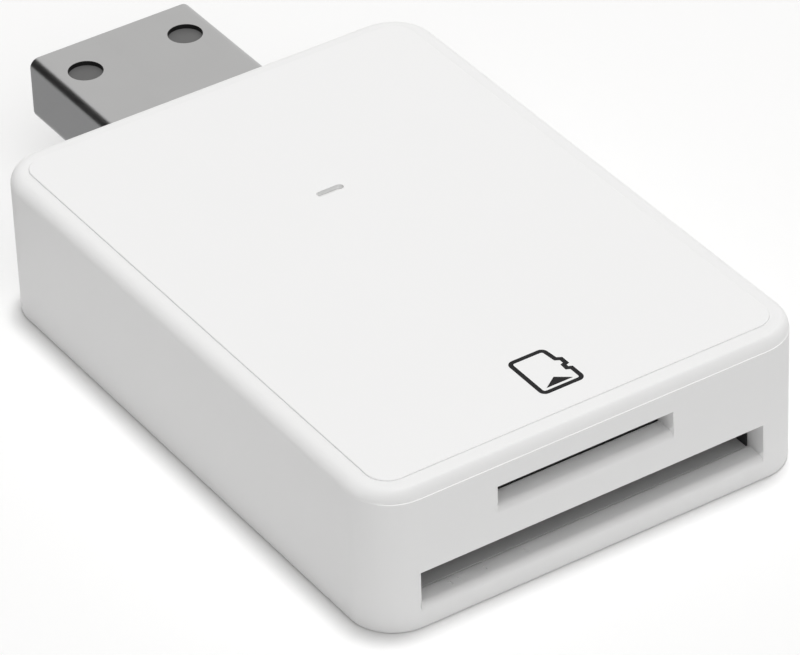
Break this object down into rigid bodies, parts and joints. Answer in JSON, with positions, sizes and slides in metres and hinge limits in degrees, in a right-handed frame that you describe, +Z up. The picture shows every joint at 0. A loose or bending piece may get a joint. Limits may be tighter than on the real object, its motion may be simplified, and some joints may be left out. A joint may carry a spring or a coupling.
{
  "type": "memory card reader",
  "caption": "Flat white card reader: case with an inlaid top panel, one large and one small card slot in front, and a steel plug at the rear.",
  "frame": {"origin": "under the middle of the whole reader, plug included, on the surface that it lies on", "axes": "+Z up, +Y along the plug towards its tip, -Y the face with the card slots, +X to the right seen from the slots"},
  "size_m": [0.0308, 0.0552, 0.0103],
  "materials": {
    "case_plastic": "moulded ABS, very fine satin texture",
    "panel_plastic": "moulded ABS, smooth satin",
    "print_ink": "pad printed ink, dull",
    "pipe_plastic": "milky polycarbonate",
    "plug_steel": "nickel plated sheet steel, satin",
    "insulator_plastic": "moulded thermoplastic",
    "contact_gold": "copper alloy, gold plated",
    "board_laminate": "glass fibre laminate with solder mask",
    "socket_plastic": "moulded high temperature thermoplastic",
    "socket_steel": "stainless sheet, fine rolling marks",
    "chip_plastic": "moulded epoxy",
    "lead_tin": "copper alloy, tinned",
    "crystal_metal": "gold flashed lid on a ceramic base",
    "lamp_resin": "clear resin over phosphor",
    "capacitor_ceramic": "sintered ceramic",
    "resistor_ceramic": "glazed resistor film"
  },
  "bodies": {
    "reader": {"case_tub": "case_plastic", "top_panel": "panel_plastic", "card_icon": "print_ink", "light_pipe": "pipe_plastic", "usb_shell": "plug_steel", "usb_insulator": "insulator_plastic", "usb_contacts": "contact_gold", "circuit_board": "board_laminate", "sd_socket_base": "socket_plastic", "sd_socket_cover": "socket_steel", "sd_contact_roots": "contact_gold", "sd_switch_posts": "contact_gold", "microsd_socket_base": "socket_plastic", "microsd_socket_cover": "socket_steel", "microsd_contact_roots": "contact_gold", "microsd_switch_posts": "contact_gold", "controller_chip": "chip_plastic", "controller_leads": "lead_tin", "crystal_can": "crystal_metal", "status_lamp": "lamp_resin", "voltage_regulator": "chip_plastic", "regulator_leads": "lead_tin", "capacitor_bodies": "capacitor_ceramic", "resistor_bodies": "resistor_ceramic", "chip_end_caps": "lead_tin"},
    "sd_contacts": {"sd_contact_arms": "contact_gold"},
    "sd_detect": {"sd_detect_leaf": "contact_gold"},
    "sd_protect": {"sd_protect_leaf": "contact_gold"},
    "microsd_contacts": {"microsd_contact_arms": "contact_gold"},
    "microsd_detect": {"microsd_detect_leaf": "contact_gold"}
  },
  "joints": [
    {"name": "sd_contacts_lift", "type": "hinge", "parent": "reader", "child": "sd_contacts", "pos_m": [-0.0002, -0.01375, 0.00455], "axis": [1, 0, 0], "range_deg": [0, 3.5], "stiffness_Nm_per_rad": 0.1},
    {"name": "sd_detect_press", "type": "hinge", "parent": "reader", "child": "sd_detect", "pos_m": [0.0028, -0.0035, 0.00252], "axis": [0, 0, 1], "range_deg": [0, 4.5], "stiffness_Nm_per_rad": 0.02},
    {"name": "sd_protect_press", "type": "hinge", "parent": "reader", "child": "sd_protect", "pos_m": [0.0122, -0.01895, 0.00252], "axis": [0, 0, 1], "range_deg": [-3, 0], "stiffness_Nm_per_rad": 0.02},
    {"name": "microsd_contacts_press", "type": "hinge", "parent": "reader", "child": "microsd_contacts", "pos_m": [-0.00075, -0.02355, 0.00606], "axis": [1, 0, 0], "range_deg": [-3.4, 0], "stiffness_Nm_per_rad": 0.03},
    {"name": "microsd_detect_press", "type": "hinge", "parent": "reader", "child": "microsd_detect", "pos_m": [0.00005, -0.0156, 0.00671], "axis": [0, 0, 1], "range_deg": [0, 5.5], "stiffness_Nm_per_rad": 0.01}
  ]
}
